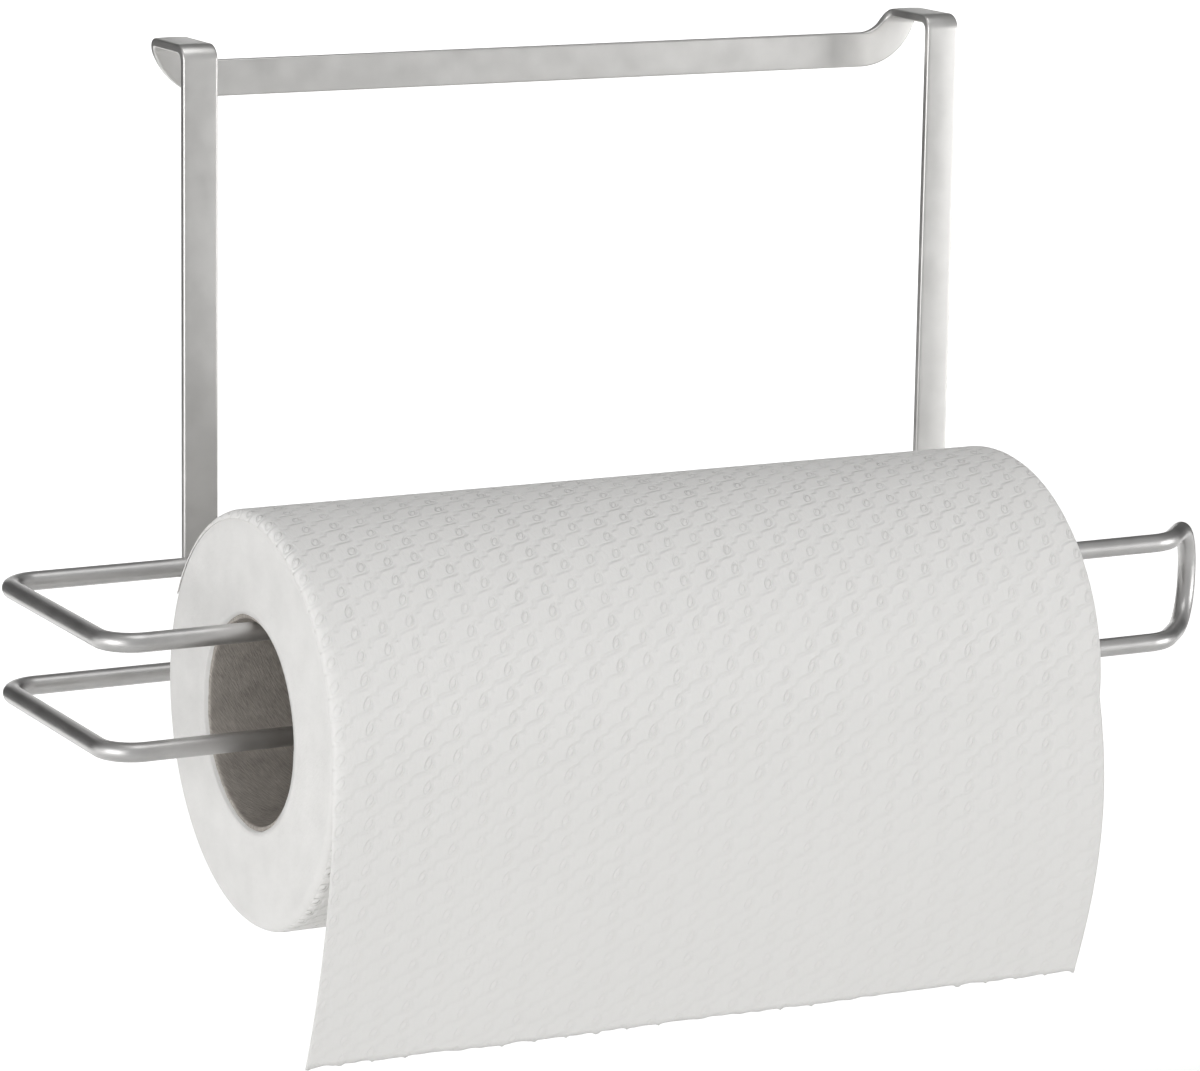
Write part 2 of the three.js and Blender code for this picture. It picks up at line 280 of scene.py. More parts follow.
def bent_rod():
    """The whole rod, pushed straight and bent in turn, with its cut ends eased."""
    bm = bmesh.new()
    turned = Matrix.Translation(rod_corners[0][0]) @ Matrix.Rotation(math.pi / 2, 4, "Y")
    bmesh.ops.create_circle(bm, cap_ends=True, radius=ROD_RADIUS, segments=28, matrix=turned)
    rim = [e for e in bm.edges if e.is_boundary]
    ends = [list(rim)]
    at = rod_corners[0][0]
    heading = (rod_corners[1][0] - at).normalized()
    for (corner, radius), (following, _) in zip(rod_corners[1:-1], rod_corners[2:]):
        new_heading = (following - corner).normalized()
        turn = heading.angle(new_heading)
        axis = heading.cross(new_heading).normalized()
        start = corner - heading * radius * math.tan(turn / 2)
        for _ in range(2):
            rim = push(bm, rim, (start - at) / 2)
        centre = start + axis.cross(heading) * radius
        rim = bend(bm, rim, centre, axis, turn, math.ceil(math.degrees(turn) / 5))
        at = corner + new_heading * radius * math.tan(turn / 2)
        heading = new_heading
    for _ in range(2):
        rim = push(bm, rim, (rod_corners[-1][0] - at) / 2)
    bmesh.ops.contextual_create(bm, geom=rim)
    ends.append(rim)
    bmesh.ops.bevel(
        bm, geom=ends[0] + ends[1], offset=CUT_END_RADIUS, segments=3, profile=0.5,
        affect="EDGES", material=-1,
    )
    bmesh.ops.recalc_face_normals(bm, faces=bm.faces)
    return bm


# The same lacquer on drawn round rod, painted a shade darker: painted shade for
# the darker reflections that the round rod shows, and its streaks of light run along the bar.
shaded_rod_lacquer = satin_lacquer.copy()
shaded_rod_lacquer.name = "satin_silver_lacquer_shaded_darker_on_rod"
for found in shaded_rod_lacquer.node_tree.nodes:
    # the darker tone below is painted shade, not a different lacquer
    if found.bl_idname == "ShaderNodeValToRGB":
        found.color_ramp.elements[0].color = linear("#C6C5C4")
        found.color_ramp.elements[1].color = linear("#CFCECD")
    if found.bl_idname == "ShaderNodeMapRange":
        found.inputs["To Min"].default_value = 0.36
        found.inputs["To Max"].default_value = 0.42

rod = finish_piece(
    "bent_rod", bent_rod(), "holder", ["roll_carrier"], [shaded_rod_lacquer]
)
rod.modifiers.new("even_shading", "WEIGHTED_NORMAL").weight = 100

# ------------------------------------------------------------------- welds
# Each rear run is resistance welded to each upright. The squeezed-out metal
# sets as a low lip round the contact, a little rough under the lacquer.

LIP_DEPTH_SHARE = 1.35  # the lip runs into the rod and the strip by this much
LIP_RADIUS = 0.55 * MM
RIPPLE_PITCH = 1.2 * MM
RIPPLE_ACROSS, RIPPLE_UP = 0.25 * MM, 0.12 * MM


def weld_lip(node_name, seed):
    """A rounded bead in the place of a weld, rippled in its own way for each seed."""
    low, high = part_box(node_name)
    size = high - low
    bm = bmesh.new()
    bmesh.ops.create_cube(bm, size=1)
    bmesh.ops.scale(bm, vec=(size.x, size.y * LIP_DEPTH_SHARE, size.z), verts=bm.verts)
    bmesh.ops.bevel(
        bm, geom=bm.edges[:], offset=LIP_RADIUS, segments=2, profile=0.5,
        affect="EDGES", material=-1,
    )
    bmesh.ops.subdivide_edges(bm, edges=bm.edges[:], cuts=3, use_grid_fill=True)
    for _ in range(3):
        bmesh.ops.smooth_vert(
            bm, verts=bm.verts, factor=0.5, use_axis_x=True, use_axis_y=True, use_axis_z=True
        )
    bmesh.ops.translate(bm, vec=(low + high) / 2, verts=bm.verts)
    for v in bm.verts:
        bead = noise.noise(v.co / RIPPLE_PITCH + Vector((seed, 0, 0)))
        v.co += Vector((RIPPLE_ACROSS, 0, RIPPLE_UP)) * bead
    bmesh.ops.recalc_face_normals(bm, faces=bm.faces)
    return bm


# The same lacquer over weld metal: darker and patchier where the heat has
# scaled the surface, with a deeper orange peel.
weld_lacquer = satin_lacquer.copy()
weld_lacquer.name = "satin_silver_lacquer_on_weld"
for found in weld_lacquer.node_tree.nodes:
    if found.bl_idname == "ShaderNodeValToRGB":
        found.color_ramp.elements[0].color = linear("#8F8B84")
        found.color_ramp.elements[1].color = linear("#B4B1AB")
    if found.bl_idname == "ShaderNodeBump":
        found.inputs["Distance"].default_value = 0.12 * MM

weld_names = ["weld_upper_left", "weld_upper_right", "weld_lower_left", "weld_lower_right"]
for seed, weld_name in enumerate(weld_names):
    finish_piece(
        weld_name + "_lip", weld_lip(weld_name, seed * 7.3), "holder", [weld_name],
        [weld_lacquer],
    )

# --------------------------------------------------------------- core tube
# Grey board, two plies wound in a spiral and glued, cut to length with the
# paper on it. It hangs on the upper front run, and handling has pressed its
# mouth a little out of round.

core_low, core_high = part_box("core_tube")
axis_y = (core_low.y + core_high.y) / 2
axis_z = (core_low.z + core_high.z) / 2
CORE_RADIUS = (core_high.y - core_low.y) / 2
CORE_WALL = 1.2 * MM
CUT_EDGE = 0.15 * MM  # the saw leaves each rim this much rounded
FRAY = 0.18 * MM
DENT_DEPTH = 14 * MM  # how far into the core the dents reach
TURN_STEPS = 144


def mouth_dent(angle, depth):
    """How far the mouth is pressed in or out at an angle, fading with depth."""
    # opened by half a millimetre, so that the rod clears it however the roll is turned,
    # and then an oval, a five-sided lobing and an uneven rest of 0.1 to 0.25 mm
    lobes = 0.5 + 0.25 * math.cos(2 * angle + 0.9) + 0.15 * math.cos(5 * angle + 2.1)
    lobes += 0.2 * noise.noise(Vector((2.2 * math.cos(angle), 2.2 * math.sin(angle), 3.7)))
    # one flat, back and up, where the roll has stood on its end and been knocked
    lobes -= 0.5 * math.exp(-(((angle - math.radians(58)) / math.radians(15)) ** 2))
    return lobes * MM * math.exp(-depth / DENT_DEPTH)


def spin_round_axis(bm, outline):
    """Spins a closed outline of (radius, x) points, given in order, round the roll's axis."""
    corners = [bm.verts.new((x, axis_y, axis_z + radius)) for radius, x in outline]
    sides = [bm.edges.new(pair) for pair in zip(corners, corners[1:] + corners[:1])]
    bmesh.ops.spin(
        bm, geom=corners + sides, cent=(0, axis_y, axis_z), axis=(1, 0, 0),
        angle=2 * math.pi, steps=TURN_STEPS, use_merge=True, use_duplicate=False,
    )
    bmesh.ops.remove_doubles(bm, verts=bm.verts, dist=0.002 * MM)
    bmesh.ops.recalc_face_normals(bm, faces=bm.faces)


def angle_about_axis(point):
    return math.atan2(point.z - axis_z, point.y - axis_y)


def lay_uv_round(bm, radius):
    """A UV map in millimetres: u along the roll, v round it and upward at the front."""
    layer = bm.loops.layers.uv.new("unrolled")
    for face in bm.faces:
        middle = angle_about_axis(face.calc_center_median())
        for loop in face.loops:
            angle = angle_about_axis(loop.vert.co)
            angle += 2 * math.pi * round((middle - angle) / (2 * math.pi))
            loop[layer].uv = (loop.vert.co.x / MM, (2 * math.pi - angle) * radius / MM)


def core_board():
    """The tube, with its outline's points crowded at the mouths, where it is dented."""
    inner, outer = CORE_RADIUS - CORE_WALL, CORE_RADIUS
    stations = [0, 0.3, 1, 2.5, 5, 9, 14, 20, 30, 60]
    from_left = [core_low.x + s * MM for s in stations]
    from_right = [core_high.x - s * MM for s in reversed(stations)]
    along = from_left + from_right
    outline = [(inner, x) for x in along[1:-1]]
    outline += [(inner + CUT_EDGE, along[-1]), (outer - CUT_EDGE, along[-1])]
    outline += [(outer, x) for x in reversed(along[1:-1])]
    outline += [(outer - CUT_EDGE, along[0]), (inner + CUT_EDGE, along[0])]
    bm = bmesh.new()
    spin_round_axis(bm, outline)
    for v in bm.verts:
        angle = angle_about_axis(v.co)
        depth = min(v.co.x - core_low.x, core_high.x - v.co.x)
        outward = Vector((0, math.cos(angle), math.sin(angle)))
        v.co += outward * mouth_dent(angle, depth)
        if depth < 0.01 * MM:
            v.co.x += FRAY * noise.noise(v.co / (2.1 * MM))
    lay_uv_round(bm, CORE_RADIUS)
    return bm


# Unbleached grey board: matt, warm grey-brown, with fibres that follow the
# spiral, 60 degrees off the axis, and a butt joint between turns of the ply.
grey_board = bpy.data.materials.new("unbleached_grey_board")
grey_board.use_nodes = True
tree = grey_board.node_tree
shader = tree.nodes["Principled BSDF"]
unrolled = add_node(tree, "ShaderNodeUVMap", uv_map="unrolled").outputs[0]
spiral = add_node(
    tree, "ShaderNodeMapping",
    {"Vector": unrolled, "Rotation": (0, 0, math.radians(-60))},
).outputs[0]
# fibres 2.5 mm long and 0.35 mm across, and blotches of 6 mm where they felt together
fibre_space = add_node(
    tree, "ShaderNodeMapping", {"Vector": spiral, "Scale": (1 / 2.5, 1 / 0.35, 1.0)}
).outputs[0]
fibres = add_node(
    tree, "ShaderNodeTexNoise", {"Vector": fibre_space, "Scale": 1.0, "Detail": 4.0}
).outputs[0]
felting = add_node(
    tree, "ShaderNodeTexNoise", {"Vector": unrolled, "Scale": 1 / 6, "Detail": 3.0}
).outputs[0]
mixed = add_node(
    tree, "ShaderNodeMath", {0: felting, 1: 0.5, 2: fibres}, operation="MULTIPLY_ADD"
).outputs[0]
board_tone = add_node(
    tree, "ShaderNodeMapRange", {"Value": mixed, "From Min": 0.55, "From Max": 0.95}
).outputs[0]
# the ply is 60 mm wide, so its joint comes round every 60 mm across the spiral
across = add_node(tree, "ShaderNodeSeparateXYZ", {"Vector": spiral}).outputs["Y"]
ply = add_node(
    tree, "ShaderNodeMath", {0: across, 1: 30.0}, operation="PINGPONG"
).outputs[0]
joint = add_node(
    tree, "ShaderNodeMapRange",
    {"Value": ply, "From Min": 0.0, "From Max": 0.35, "To Min": 0.0, "To Max": 1.0},
).outputs[0]
board_colour = add_node(
    tree, "ShaderNodeMix",
    {"Factor": board_tone, 6: linear("#9A948E"), 7: linear("#BFB9B2")},
    data_type="RGBA",
).outputs[2]
joint_colour = add_node(
    tree, "ShaderNodeMix", {"Factor": joint, 6: linear("#827C75"), 7: board_colour},
    data_type="RGBA",
).outputs[2]
tree.links.new(joint_colour, shader.inputs["Base Color"])
shader.inputs["Roughness"].default_value = 0.95
shader.inputs["Specular IOR Level"].default_value = 0.15
board_relief = add_node(
    tree, "ShaderNodeMath", {0: board_tone, 1: joint}, operation="ADD"
).outputs[0]
board_bump = add_node(
    tree, "ShaderNodeBump", {"Height": board_relief, "Strength": 0.6, "Distance": 0.12 * MM}
)
tree.links.new(board_bump.outputs[0], shader.inputs["Normal"])

finish_piece("spiral_core", core_board(), "roll", ["core_tube"], [grey_board])

# ----------------------------------------------------------- paper winding
# Two-ply embossed tissue wound on the core, about 80 turns. The log is sawn
# to length, so the ends are soft stacked edges, and the outer turns have
# rounded over where the roll has been handled.

winding_low, winding_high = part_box("paper_winding")
WINDING_RADIUS = (winding_high.y - winding_low.y) / 2
SHOULDER = 3.2 * MM
SLACK = 0.35 * MM  # how far single turns stand back from the sawn end


def wound_tissue():
    """The wound log, open round the core, with its turns slack at the sawn ends."""
    inner = CORE_RADIUS + 0.1 * MM
    flat_rings = 14
    shoulder_steps = 7
    profile = []
    for i in range(flat_rings + 1):
        radius = inner + (WINDING_RADIUS - SHOULDER - inner) * i / flat_rings
        profile.append((radius, 0))
    for i in range(1, shoulder_steps + 1):
        angle = math.pi / 2 * i / shoulder_steps
        radius = WINDING_RADIUS - SHOULDER * (1 - math.sin(angle))
        profile.append((radius, SHOULDER * (1 - math.cos(angle))))
    left = [(radius, winding_low.x + x) for radius, x in profile]
    right = [(radius, winding_high.x - x) for radius, x in reversed(profile)]
    bm = bmesh.new()
    spin_round_axis(bm, left + right)
    for v in bm.verts:
        angle = angle_about_axis(v.co)
        outward = Vector((0, math.cos(angle), math.sin(angle)))
        radius = (v.co - Vector((v.co.x, axis_y, axis_z))).length
        toward_core = (WINDING_RADIUS - SHOULDER - radius) / (WINDING_RADIUS - SHOULDER - inner)
        toward_core = max(0, min(1, toward_core))
        v.co += outward * mouth_dent(angle, 0) * toward_core**2
        if toward_core > 0:
            inward = 1 if v.co.x < 0 else -1
            slack = 0.5 + 0.5 * noise.noise(Vector((radius / (3 * MM), angle * 0.7, inward)))
            v.co.x += inward * SLACK * slack * min(1, 4 * toward_core)
    lay_uv_round(bm, WINDING_RADIUS)
    # the embossing shows round the outside and on the outer part of the shoulders
    for face in bm.faces:
        middle = face.calc_center_median()
        depth = min(middle.x - winding_low.x, winding_high.x - middle.x)
        from_axis = math.hypot(middle.y - axis_y, middle.z - axis_z)
        on_outside = depth > 0.45 * SHOULDER and from_axis > CORE_RADIUS + SHOULDER
        face.material_index = 0 if on_outside else 1
    return bm


# Creped tissue, two plies: matt, soft white, nearly no gloss. It is embossed
# all over with leaning oval rings, and a stepped line runs under each ring,
# up its right side and on to the next row, pressed 0.1 to 0.4 mm deep.
RING_PITCH = 7.92  # mm along the roll
RING_RISE = 1.0  # mm that each ring stands above its left-hand neighbour
ROWS_ROUND = 56  # a whole number, so that the pattern closes
ROW_PITCH = 2 * math.pi * WINDING_RADIUS / MM / ROWS_ROUND
RING_HALF_WIDTH, RING_HALF_HEIGHT, RING_LEAN = 0.85, 1.4, 0.33  # mm, mm, mm per mm

embossed_tissue = bpy.data.materials.new("embossed_creped_tissue")
embossed_tissue.use_nodes = True
tree = embossed_tissue.node_tree
shader = tree.nodes["Principled BSDF"]
unrolled = add_node(tree, "ShaderNodeUVMap", uv_map="unrolled").outputs[0]
# the plies slip under the embossing roller, so the lattice wanders by 0.6 mm over 20 mm
wander = add_node(
    tree, "ShaderNodeTexNoise", {"Vector": unrolled, "Scale": 1 / 20, "Detail": 2.0}
).outputs["Color"]
slipped = add_node(
    tree, "ShaderNodeVectorMath", {0: wander, 1: (1.2, 1.2, 0.0), 2: unrolled},
    operation="MULTIPLY_ADD",
).outputs[0]
# a ring stands wherever both lattice numbers are whole
column = add_node(
    tree, "ShaderNodeVectorMath", {0: slipped, 1: (1 / RING_PITCH, 0, 0)},
    operation="DOT_PRODUCT",
).outputs["Value"]
row = add_node(
    tree, "ShaderNodeVectorMath",
    {0: slipped, 1: (-RING_RISE / RING_PITCH / ROW_PITCH, 1 / ROW_PITCH, 0)},
    operation="DOT_PRODUCT",
).outputs["Value"]
lattice = add_node(tree, "ShaderNodeCombineXYZ", {"X": column, "Y": row}).outputs[0]
halfway = add_node(
    tree, "ShaderNodeVectorMath", {0: lattice, 1: (0.5, 0.5, 0.5)}, operation="ADD"
).outputs[0]
from_cell_corner = add_node(
    tree, "ShaderNodeVectorMath", {0: halfway}, operation="FRACTION"
).outputs[0]
in_cell = add_node(
    tree, "ShaderNodeVectorMath", {0: from_cell_corner, 1: (0.5, 0.5, 0.5)},
    operation="SUBTRACT",
).outputs[0]
across_ring = add_node(
    tree, "ShaderNodeVectorMath",
    {0: in_cell, 1: (
        (RING_PITCH - RING_LEAN * RING_RISE) / RING_HALF_WIDTH,
        -RING_LEAN * ROW_PITCH / RING_HALF_WIDTH, 0,
    )},
    operation="DOT_PRODUCT",
).outputs["Value"]
up_ring = add_node(
    tree, "ShaderNodeVectorMath",
    {0: in_cell, 1: (RING_RISE / RING_HALF_HEIGHT, ROW_PITCH / RING_HALF_HEIGHT, 0)},
    operation="DOT_PRODUCT",
).outputs["Value"]
ring_space = add_node(
    tree, "ShaderNodeCombineXYZ", {"X": across_ring, "Y": up_ring}
).outputs[0]
from_ring = add_node(
    tree, "ShaderNodeVectorMath", {0: ring_space}, operation="LENGTH"
).outputs["Value"]
off_ring = add_node(
    tree, "ShaderNodeMath", {0: from_ring, 1: 1.0}, operation="SUBTRACT"
).outputs[0]
off_ring = add_node(tree, "ShaderNodeMath", {0: off_ring}, operation="ABSOLUTE").outputs[0]
ring = add_node(
    tree, "ShaderNodeMapRange",
    {"Value": off_ring, "From Min": 0.0, "From Max": 0.55, "To Min": 0.85, "To Max": 0.0},
    interpolation_type="SMOOTHSTEP",
).outputs[0]
# the stepped lines climb one column for each row, so along a line the
# difference of the two lattice numbers only steps about a whole number,
# twice for each ring that the line passes
falling = add_node(
    tree, "ShaderNodeMath", {0: column, 1: row}, operation="SUBTRACT"
).outputs[0]
rising = add_node(tree, "ShaderNodeMath", {0: column, 1: row}, operation="ADD").outputs[0]
MIDDLE_OF_STEPS = 0.15
centred = add_node(
    tree, "ShaderNodeMath", {0: falling, 1: MIDDLE_OF_STEPS}, operation="SUBTRACT"
).outputs[0]
line_number = add_node(tree, "ShaderNodeMath", {0: centred}, operation="ROUND").outputs[0]
off_line = add_node(
    tree, "ShaderNodeMath", {0: centred, 1: line_number}, operation="SUBTRACT"
).outputs[0]
along_line = add_node(
    tree, "ShaderNodeMath", {0: rising, 1: line_number}, operation="SUBTRACT"
).outputs[0]
along_line = add_node(
    tree, "ShaderNodeMath", {0: along_line, 1: 2.0}, operation="FLOORED_MODULO"
).outputs[0]
share_of_line = add_node(
    tree, "ShaderNodeMath", {0: along_line, 1: 0.5}, operation="MULTIPLY"
).outputs[0]
steps = add_node(tree, "ShaderNodeFloatCurve", {"Value": share_of_line})
step_curve = steps.mapping.curves[0]
step_points = [
    (0.0, 0.66), (0.09, 0.53), (0.18, 0.37), (0.27, 0.35), (0.34, 0.43), (0.42, 0.41),
    (0.50, 0.35), (0.62, 0.41), (0.75, 0.55), (0.86, 0.66), (0.94, 0.68), (1.0, 0.65),
]
step_curve.points[0].location = step_points[0]
step_curve.points[1].location = step_points[-1]
for point in step_points[1:-1]:
    step_curve.points.new(*point)
steps.mapping.update()
step = add_node(
    tree, "ShaderNodeMath", {0: steps.outputs[0], 1: 1.3, 2: -0.65}, operation="MULTIPLY_ADD"
).outputs[0]
beside_line = add_node(
    tree, "ShaderNodeMath", {0: off_line, 1: step}, operation="SUBTRACT"
).outputs[0]
beside_line = add_node(
    tree, "ShaderNodeMath", {0: beside_line}, operation="ABSOLUTE"
).outputs[0]
line = add_node(
    tree, "ShaderNodeMapRange",
    {"Value": beside_line, "From Min": 0.0, "From Max": 0.23, "To Min": 0.8, "To Max": 0.0},
    interpolation_type="SMOOTHSTEP",
).outputs[0]
pressed = add_node(
    tree, "ShaderNodeMath", {0: ring, 1: line}, operation="MAXIMUM"
).outputs[0]
# the real crepe is finer than half a millimetre, too fine to show, so it is
# drawn 0.9 mm apart and 2.2 mm long
crepe_space = add_node(
    tree, "ShaderNodeVectorMath", {0: unrolled, 1: (1 / 0.9, 1 / 2.2, 1.0)},
    operation="MULTIPLY",
).outputs[0]
crepe = add_node(
    tree, "ShaderNodeTexNoise", {"Vector": crepe_space, "Scale": 1.0, "Detail": 3.0}
).outputs[0]
# the plies cling in some places and stand apart in others, in patches of about 13 mm
pillow = add_node(
    tree, "ShaderNodeTexNoise", {"Vector": unrolled, "Scale": 1 / 13, "Detail": 2.0}
).outputs[0]
uneven = add_node(
    tree, "ShaderNodeMapRange",
    {"Value": pillow, "From Min": 0.35, "From Max": 0.65, "To Min": 0.55, "To Max": 0.95},
).outputs[0]
# the free end has hung and been handled, which flattens its embossing
up_sheet = add_node(tree, "ShaderNodeSeparateXYZ", {"Vector": unrolled}).outputs["Y"]
kept = add_node(
    tree, "ShaderNodeMapRange",
    {"Value": up_sheet, "From Min": 40.0, "From Max": 165.0, "To Min": 0.35, "To Max": 1.1},
).outputs[0]
depth = add_node(
    tree, "ShaderNodeMath", {0: pressed, 1: uneven}, operation="MULTIPLY"
).outputs[0]
depth = add_node(tree, "ShaderNodeMath", {0: depth, 1: kept}, operation="MULTIPLY").outputs[0]
height = add_node(
    tree, "ShaderNodeMath", {0: crepe, 1: 0.4}, operation="MULTIPLY"
).outputs[0]
height = add_node(
    tree, "ShaderNodeMath", {0: height, 1: depth}, operation="SUBTRACT"
).outputs[0]
emboss_bump = add_node(
    tree, "ShaderNodeBump", {"Height": height, "Strength": 1.0, "Distance": 0.42 * MM}
)
tree.links.new(emboss_bump.outputs[0], shader.inputs["Normal"])
# the pressed lines and rings are painted a touch darker than the flat tissue: painted shade in
# the grooves
tissue_tone_with_groove_shade = add_node(
    tree, "ShaderNodeMix",
    {"Factor": pressed, 6: linear("#F2F1EF"), 7: linear("#F0EFED")}, data_type="RGBA",
).outputs[2]
tree.links.new(tissue_tone_with_groove_shade, shader.inputs["Base Color"])
shader.inputs["Roughness"].default_value = 0.95
shader.inputs["Specular IOR Level"].default_value = 0.1
shader.inputs["Sheen Weight"].default_value = 0.15
shader.inputs["Sheen Roughness"].default_value = 0.6

# The sawn end of the roll: the same tissue seen edge on, soft and felted,
# with a trace of the turns, about 0.3 mm each and here drawn 1.2 mm apart.
sawn_tissue = bpy.data.materials.new("sawn_tissue_edges")
sawn_tissue.use_nodes = True
tree = sawn_tissue.node_tree
shader = tree.nodes["Principled BSDF"]
place = add_node(tree, "ShaderNodeTexCoord").outputs["Object"]
centred = add_node(
    tree, "ShaderNodeVectorMath", {0: place, 1: (0, axis_y, axis_z)}, operation="SUBTRACT"
).outputs[0]
flattened = add_node(
    tree, "ShaderNodeVectorMath", {0: centred, 1: (0, 1, 1)}, operation="MULTIPLY"
).outputs[0]
radius = add_node(
    tree, "ShaderNodeVectorMath", {0: flattened}, operation="LENGTH"
).outputs["Value"]
turns = add_node(
    tree, "ShaderNodeTexNoise", {"W": radius, "Scale": 1 / (1.2 * MM), "Detail": 2.0},
    noise_dimensions="1D",
).outputs[0]
felt = add_node(
    tree, "ShaderNodeTexNoise", {"Vector": place, "Scale": 1 / (1.6 * MM), "Detail": 5.0}
).outputs[0]
clouds = add_node(
    tree, "ShaderNodeTexNoise", {"Vector": place, "Scale": 1 / (9 * MM), "Detail": 3.0}
).outputs[0]
cut_height = add_node(
    tree, "ShaderNodeMath", {0: turns, 1: 0.18, 2: felt}, operation="MULTIPLY_ADD"
).outputs[0]
cut_bump = add_node(
    tree, "ShaderNodeBump", {"Height": cut_height, "Strength": 0.5, "Distance": 0.35 * MM}
)
tree.links.new(cut_bump.outputs[0], shader.inputs["Normal"])
cut_tone = add_node(tree, "ShaderNodeValToRGB", {"Fac": clouds})
cut_tone.color_ramp.elements[0].position = 0.3
cut_tone.color_ramp.elements[0].color = linear("#E6E5E3")
cut_tone.color_ramp.elements[1].position = 0.7
cut_tone.color_ramp.elements[1].color = linear("#EDECEA")
tree.links.new(cut_tone.outputs[0], shader.inputs["Base Color"])
shader.inputs["Roughness"].default_value = 0.97
shader.inputs["Specular IOR Level"].default_value = 0.1
shader.inputs["Sheen Weight"].default_value = 0.2

finish_piece(
    "wound_tissue", wound_tissue(), "roll", ["paper_winding"],
    [embossed_tissue, sawn_tissue],
)

# ----------------------------------------------------------- leading sheet
# The first sheet, 226 x 230 mm between perforations. It lies over the top of
# the roll, leaves it at the front and hangs with the curl it was wound with,
# its right-hand corner standing further forward. Its lower edge was torn
# along the perforation, which leaves short nibs.

sheet_low, sheet_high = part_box("leading_sheet")
SHEET_THICKNESS = 0.32 * MM
SHEET_WIDTH = sheet_high.x - sheet_low.x
SHEET_LENGTH = 230 * MM
HANGING_LENGTH = 80 * MM
LEAVES_AT = math.radians(4)
CURL_RADIUS = 335 * MM
LIE_RADIUS = WINDING_RADIUS + 0.12 * MM + SHEET_THICKNESS / 2
GRIP_FADE = 30 * MM
TWIST_LEFT, TWIST_RIGHT = 2.5 * MM, -6.0 * MM  # how far the lower corners stand back
BELLY = 4.5 * MM  # how far the right-hand edge bows forward
NIB_PITCH, NIB_WIDTH, NIB_LENGTH = 9 * MM, 1.1 * MM, 0.45 * MM


def hanging_point(across, below):
    """Where the sheet goes, across its width and below where it leaves the roll."""
    start_y = axis_y - LIE_RADIUS * math.cos(LEAVES_AT)
    start_z = axis_z - LIE_RADIUS * math.sin(LEAVES_AT)
    centre_y = start_y + CURL_RADIUS * math.cos(LEAVES_AT)
    centre_z = start_z + CURL_RADIUS * math.sin(LEAVES_AT)
    angle = LEAVES_AT + below / CURL_RADIUS
    y = centre_y - CURL_RADIUS * math.cos(angle)
    z = centre_z - CURL_RADIUS * math.sin(angle)
    share = below / HANGING_LENGTH
    twist = (TWIST_LEFT + (TWIST_RIGHT - TWIST_LEFT) * across) * share**1.6
    belly = -BELLY * across**2 * math.sin(math.pi * min(1, share))
    ripple = noise.noise(Vector((across * 3.1, share * 0.9, 5.2))) * 1.6 * MM
    ripple += noise.noise(Vector((across * 9.0, share * 1.5, 1.4))) * 0.5 * MM
    return y + twist + belly + ripple * share**1.3, z


def lying_point(back):
    """Where the sheet goes at a length back from where it leaves the roll."""
    angle = back / LIE_RADIUS - LEAVES_AT
    return axis_y - LIE_RADIUS * math.cos(angle), axis_z + LIE_RADIUS * math.sin(angle)


def first_sheet():
    """The sheet as a flat grid, which is then laid on the roll and hung from it."""
    bm = bmesh.new()
    layer = bm.loops.layers.uv.new("unrolled")
    columns, rows_down = 270, 132
    bmesh.ops.create_grid(bm, x_segments=columns, y_segments=rows_down, size=0.5)
    for face in bm.faces:
        for loop in face.loops:
            flat = loop.vert.co
            loop[layer].uv = (
                (sheet_low.x + (flat.x + 0.5) * SHEET_WIDTH) / MM,
                (flat.y + 0.5) * SHEET_LENGTH / MM,
            )
    for v in bm.verts:
        across, down = v.co.x + 0.5, 0.5 - v.co.y
        length = down * SHEET_LENGTH
        below = length - (SHEET_LENGTH - HANGING_LENGTH)
        if down > 0.999:
            tear = noise.noise(Vector((across * 60, 0.3, 0))) * 0.5 * MM
            nib = (across * SHEET_WIDTH) % NIB_PITCH < NIB_WIDTH
            below += tear + (NIB_LENGTH if nib and tear > -0.05 * MM else 0)
        y, z = hanging_point(across, below) if below > 0 else lying_point(-below)
        # the side edges round over with the shoulders of the roll, until the sheet hangs free
        from_edge = min(across, 1 - across) * SHEET_WIDTH
        grip = 1 if below < 0 else max(0, 1 - below / GRIP_FADE) ** 2
        drop = 0
        x = sheet_low.x + across * SHEET_WIDTH
        if from_edge < SHOULDER:
            reach = (SHOULDER - from_edge) / SHOULDER
            drop = SHOULDER * (1 - math.sqrt(max(0, 1 - (0.93 * reach) ** 2))) * grip
        toward = Vector((0, axis_y - y, axis_z - z)).normalized()
        v.co = Vector((x, y, z)) + toward * drop
    bmesh.ops.recalc_face_normals(bm, faces=bm.faces)
    return bm


sheet = finish_piece(
    "first_sheet", first_sheet(), "loose_sheet", ["leading_sheet"], [embossed_tissue]
)
thickness = sheet.modifiers.new("two_plies", "SOLIDIFY")
thickness.thickness = SHEET_THICKNESS
thickness.offset = 0

# ---------------------------------------------------- floor and soft light
# A white sweep: floor, cove and wall in one painted sheet, lit so evenly
# that the object stands against plain white.

FLOOR_Z = -0.42
FLOOR_BACK_Y = 1.5
FLOOR_HALF_WIDTH, FLOOR_HALF_DEPTH = 15, 8
COVE_RADIUS = 0.6
WALL_HEIGHT = 0.3

